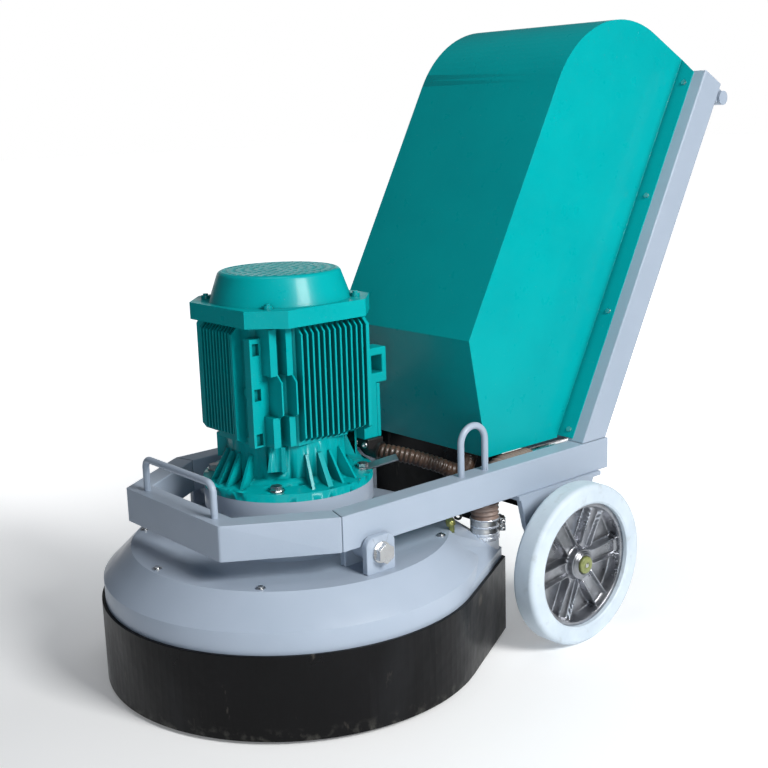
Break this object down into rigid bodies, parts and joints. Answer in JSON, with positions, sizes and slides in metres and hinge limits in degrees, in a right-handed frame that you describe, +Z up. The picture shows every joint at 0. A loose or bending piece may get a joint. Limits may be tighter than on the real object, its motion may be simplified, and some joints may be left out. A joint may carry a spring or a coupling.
{
  "type": "concrete grinder",
  "caption": "Walk-behind planetary concrete floor grinder: round head with rubber skirt, vertical motor, tilting frame on wheels, leaning control cabinet and rear handle.",
  "frame": {"origin": "on the floor, under the middle of the machine's bounding box", "axes": "+Z up, +Y towards the operator, +X to the side of the dust hose"},
  "size_m": [0.69, 1.2911, 1.1224],
  "materials": {
    "teal_paint": "semi-gloss",
    "grey_paint": "semi-gloss",
    "black_rubber": "satin",
    "bright_steel": "zinc plated",
    "machined_steel": "machined",
    "copper_winding": "varnished",
    "cast_plate": "cast",
    "diamond_disc": "ground",
    "cast_aluminium": "as cast",
    "grey_tyre": "matt",
    "black_plastic": "matt",
    "red_plastic": "gloss",
    "green_plastic": "gloss",
    "blue_plastic": "matt",
    "grey_hose": "satin",
    "brown_conduit": "satin"
  },
  "bodies": {
    "frame": {"side_rails": "grey_paint", "front_frame": "grey_paint", "uprights": "grey_paint", "splash_flap": "black_rubber", "pivot_tongues": "grey_paint", "front_handle": "grey_paint", "lifting_eyes": "grey_paint", "rear_handle": "grey_paint", "wheel_brackets": "grey_paint", "axles": "bright_steel", "hood": "teal_paint", "hood_screws": "bright_steel", "back_panel": "teal_paint", "inverter": "black_plastic", "control_tray": "black_plastic", "mains_inlet": "blue_plastic", "vacuum_pipe": "bright_steel"},
    "head": {"shroud": "grey_paint", "skirt": "black_rubber", "shroud_screws": "bright_steel", "pivot_lugs": "grey_paint", "pivot_bolts": "bright_steel", "gear_case": "grey_paint", "ring_gear": "machined_steel", "centre_gear": "machined_steel", "end_shield": "teal_paint", "stator_housing": "teal_paint", "stator_core": "copper_winding", "terminal_box": "teal_paint", "terminal_box_lid": "teal_paint", "fan_cowl": "teal_paint", "flange_bolts": "bright_steel", "hose_spigot": "bright_steel", "hose_clamps": "bright_steel", "drive_bearings": "machined_steel", "extraction_hose": "grey_hose", "motor_conduit": "brown_conduit"},
    "carrier": {"carrier_plate": "cast_plate", "drive_shaft": "machined_steel"},
    "rotor": {"rotor_shaft": "machined_steel", "rotor_core": "machined_steel", "cooling_fan": "black_plastic"},
    "wheel_left": {"tyre_left": "grey_tyre", "hub_left": "cast_aluminium"},
    "wheel_right": {"tyre_right": "grey_tyre", "hub_right": "cast_aluminium"},
    "stop_mushroom": {"emergency_stop": "red_plastic"},
    "start": {"start_button": "green_plastic"},
    "stop": {"stop_button": "red_plastic"},
    "speed": {"speed_knob": "black_plastic"},
    "isolator": {"main_switch": "red_plastic"},
    "satellite_1_body": {"satellite_1": "machined_steel", "tool_disc_1": "diamond_disc"},
    "planet_1_body": {"planet_gear_1": "machined_steel"},
    "satellite_2_body": {"satellite_2": "machined_steel", "tool_disc_2": "diamond_disc"},
    "planet_2_body": {"planet_gear_2": "machined_steel"},
    "satellite_3_body": {"satellite_3": "machined_steel", "tool_disc_3": "diamond_disc"},
    "planet_3_body": {"planet_gear_3": "machined_steel"}
  },
  "joints": [
    {"name": "head_tilt", "type": "hinge", "parent": "frame", "child": "head", "pos_m": [0, -0.3206, 0.269], "axis": [1, 0, 0], "range_deg": [-5, 5], "deforming": ["extraction_hose", "motor_conduit"]},
    {"name": "carrier_spin", "type": "hinge", "parent": "head", "child": "carrier", "pos_m": [0, -0.3056, 0.1], "axis": [0, 0, 1], "continuous": true},
    {"name": "rotor_spin", "type": "hinge", "parent": "head", "child": "rotor", "pos_m": [0, -0.3056, 0.4], "axis": [0, 0, 1], "continuous": true},
    {"name": "satellite_1_spin", "type": "hinge", "parent": "carrier", "child": "satellite_1_body", "pos_m": [0.16108, -0.2126, 0.06], "axis": [0, 0, 1], "continuous": true},
    {"name": "satellite_2_spin", "type": "hinge", "parent": "carrier", "child": "satellite_2_body", "pos_m": [-0.16108, -0.2126, 0.06], "axis": [0, 0, 1], "continuous": true},
    {"name": "satellite_3_spin", "type": "hinge", "parent": "carrier", "child": "satellite_3_body", "pos_m": [0, -0.4916, 0.06], "axis": [0, 0, 1], "continuous": true},
    {"name": "planet_1_spin", "type": "hinge", "parent": "carrier", "child": "planet_1_body", "pos_m": [0.06, -0.3056, 0.265], "axis": [0, 0, 1], "continuous": true},
    {"name": "planet_2_spin", "type": "hinge", "parent": "carrier", "child": "planet_2_body", "pos_m": [-0.03, -0.25364, 0.265], "axis": [0, 0, 1], "continuous": true},
    {"name": "planet_3_spin", "type": "hinge", "parent": "carrier", "child": "planet_3_body", "pos_m": [-0.03, -0.35756, 0.265], "axis": [0, 0, 1], "continuous": true},
    {"name": "wheel_left_spin", "type": "hinge", "parent": "frame", "child": "wheel_left", "pos_m": [-0.321, 0.1024, 0.15], "axis": [1, 0, 0], "continuous": true},
    {"name": "wheel_right_spin", "type": "hinge", "parent": "frame", "child": "wheel_right", "pos_m": [0.321, 0.1024, 0.15], "axis": [1, 0, 0], "continuous": true},
    {"name": "emergency_stop_push", "type": "slide", "parent": "frame", "child": "stop_mushroom", "axis": [0, 0.4695, 0.8829], "range_m": [-0.004, 0], "stiffness_N_per_m": 800, "springref_m": 0.001},
    {"name": "start_push", "type": "slide", "parent": "frame", "child": "start", "axis": [0, 0.4695, 0.8829], "range_m": [-0.002, 0], "stiffness_N_per_m": 800, "springref_m": 0.001},
    {"name": "stop_push", "type": "slide", "parent": "frame", "child": "stop", "axis": [0, 0.4695, 0.8829], "range_m": [-0.002, 0], "stiffness_N_per_m": 800, "springref_m": 0.001},
    {"name": "speed_turn", "type": "hinge", "parent": "frame", "child": "speed", "pos_m": [0.105, 0.5071, 1.03874], "axis": [0, -0.4695, -0.8829], "range_deg": [0, 270]},
    {"name": "isolator_turn", "type": "hinge", "parent": "frame", "child": "isolator", "pos_m": [0, 0.46707, 0.83351], "axis": [0, 0.8829, -0.4695], "range_deg": [0, 90]}
  ],
  "couplings": [
    {"joint": "rotor_spin", "follows": "carrier_spin", "ratio": 5.3333},
    {"joint": "satellite_1_spin", "follows": "carrier_spin", "ratio": 1.0667},
    {"joint": "satellite_2_spin", "follows": "carrier_spin", "ratio": 1.0667},
    {"joint": "satellite_3_spin", "follows": "carrier_spin", "ratio": 1.0667},
    {"joint": "planet_1_spin", "follows": "carrier_spin", "ratio": -2.6},
    {"joint": "planet_2_spin", "follows": "carrier_spin", "ratio": -2.6},
    {"joint": "planet_3_spin", "follows": "carrier_spin", "ratio": -2.6}
  ]
}
